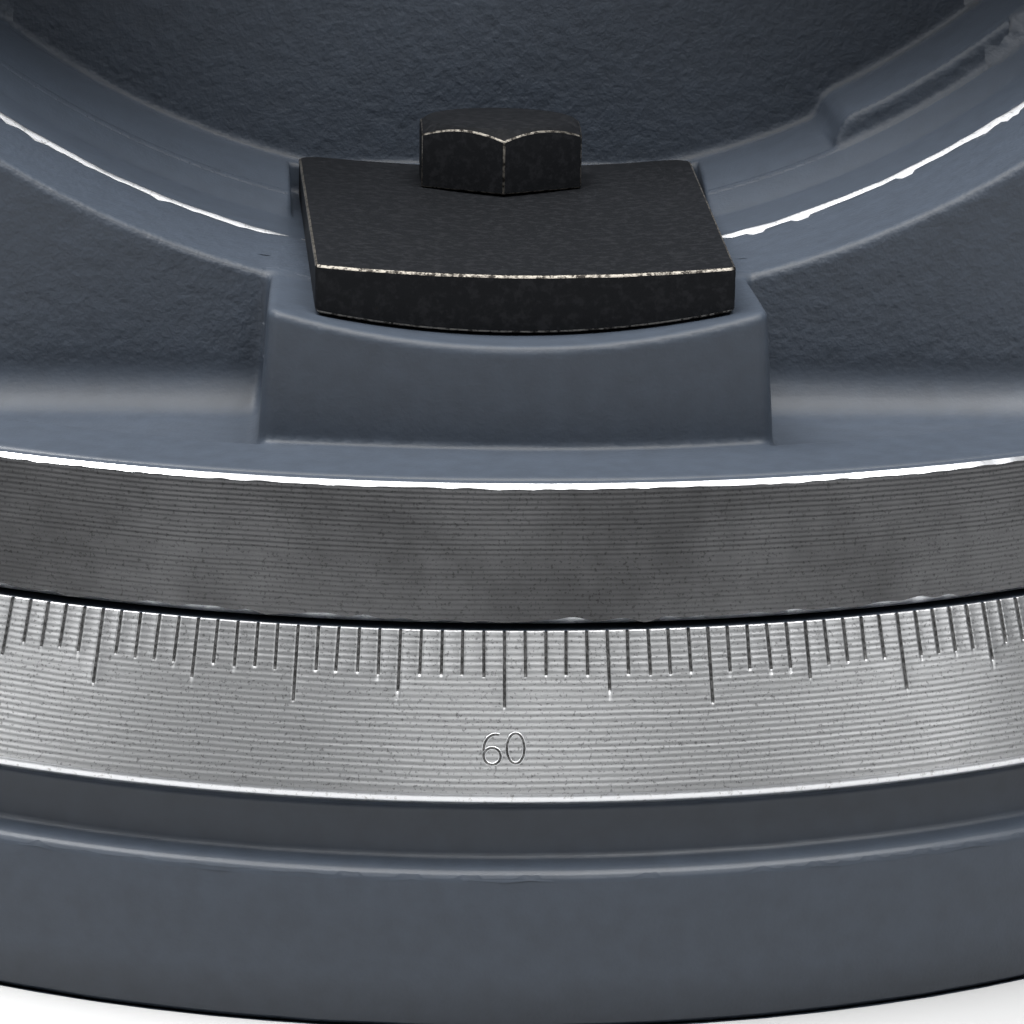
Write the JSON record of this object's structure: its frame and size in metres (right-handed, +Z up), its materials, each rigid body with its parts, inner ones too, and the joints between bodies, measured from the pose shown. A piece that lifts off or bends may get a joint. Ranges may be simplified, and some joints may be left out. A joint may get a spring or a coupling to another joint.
{
  "type": "tilting swivel machine vise",
  "caption": "Machine vise on a tilting cradle over a swivelling base: graduated base ring, arc-slot clamps, sliding jaw moved by a leadscrew and crank.",
  "frame": {"origin": "swivel axis, on the plane of the mounting face", "axes": "+Z up along the swivel axis, +Y along the vise from the crank to the fixed jaw, +X to the right of the operator"},
  "size_m": [0.2932, 0.4743, 0.2751],
  "materials": {
    "cast_paint": "satin blue-grey enamel over rough cast iron",
    "ground_steel": "turned and ground steel",
    "black_oxide": "black oxide with worn bright edges",
    "bronze": "machined bronze",
    "bright_steel": "bright turned steel",
    "grip_plastic": "moulded black plastic"
  },
  "bodies": {
    "swivel_base": {"swivel_base": "cast_paint", "pivot_pin": "ground_steel"},
    "saddle": {"saddle": "cast_paint", "pivot_bush": "bronze", "swivel_lock_bolts": "black_oxide", "swivel_lock_washers": "black_oxide"},
    "lock_nut_left": {"swivel_lock_nut_left": "black_oxide"},
    "lock_nut_right": {"swivel_lock_nut_right": "black_oxide"},
    "cradle": {"tilt_cradle": "cast_paint", "clamp_t_nuts": "black_oxide", "clamp_block_front": "black_oxide", "clamp_block_rear": "black_oxide", "vise_bed": "cast_paint", "bed_screws": "black_oxide", "screw_nut": "bronze", "screw_nut_screws": "black_oxide", "fixed_jaw": "cast_paint", "fixed_jaw_screws": "black_oxide", "fixed_jaw_plate": "ground_steel", "fixed_jaw_plate_screws": "black_oxide"},
    "clamp_bolt_front": {"clamp_bolt_front": "black_oxide"},
    "clamp_bolt_rear": {"clamp_bolt_rear": "black_oxide"},
    "moving_jaw": {"moving_jaw": "cast_paint", "moving_jaw_plate": "ground_steel", "moving_jaw_plate_screws": "black_oxide", "jaw_keepers": "ground_steel", "keeper_screws": "black_oxide"},
    "leadscrew": {"leadscrew": "bright_steel", "retaining_collar": "ground_steel", "crank": "black_oxide", "crank_set_screw": "black_oxide", "grip_pin": "bright_steel"},
    "crank_grip": {"crank_grip": "grip_plastic"}
  },
  "joints": [
    {"name": "swivel", "type": "hinge", "parent": "swivel_base", "child": "saddle", "pos_m": [0, 0, 0.04], "axis": [0, 0, 1], "continuous": true},
    {"name": "tilt", "type": "hinge", "parent": "saddle", "child": "cradle", "pos_m": [0, 0, 0.1705], "axis": [0, 1, 0], "range_deg": [-45, 45]},
    {"name": "lock_nut_left_turn", "type": "hinge", "parent": "saddle", "child": "lock_nut_left", "pos_m": [-0.1, 0, 0.065], "axis": [0, 0, 1], "range_deg": [0, 180]},
    {"name": "lock_nut_right_turn", "type": "hinge", "parent": "saddle", "child": "lock_nut_right", "pos_m": [0.1, 0, 0.065], "axis": [0, 0, 1], "range_deg": [0, 180]},
    {"name": "clamp_bolt_front_turn", "type": "hinge", "parent": "cradle", "child": "clamp_bolt_front", "pos_m": [0.0008, -0.0395, 0.07], "axis": [0, 0, 1], "range_deg": [0, 180]},
    {"name": "clamp_bolt_rear_turn", "type": "hinge", "parent": "cradle", "child": "clamp_bolt_rear", "pos_m": [0.0008, 0.0395, 0.07], "axis": [0, 0, 1], "range_deg": [0, 180]},
    {"name": "jaw_slide", "type": "slide", "parent": "cradle", "child": "moving_jaw", "axis": [0, 1, 0], "range_m": [-0.055, 0.0497]},
    {"name": "screw_turn", "type": "hinge", "parent": "moving_jaw", "child": "leadscrew", "pos_m": [0, -0.1, 0.165], "axis": [0, 1, 0], "range_deg": [-3970, 3590]},
    {"name": "grip_spin", "type": "hinge", "parent": "leadscrew", "child": "crank_grip", "pos_m": [0, -0.25, 0.26], "axis": [0, 1, 0], "continuous": true}
  ],
  "couplings": [
    {"joint": "screw_turn", "follows": "jaw_slide", "rad_per_m": 1256.6}
  ]
}
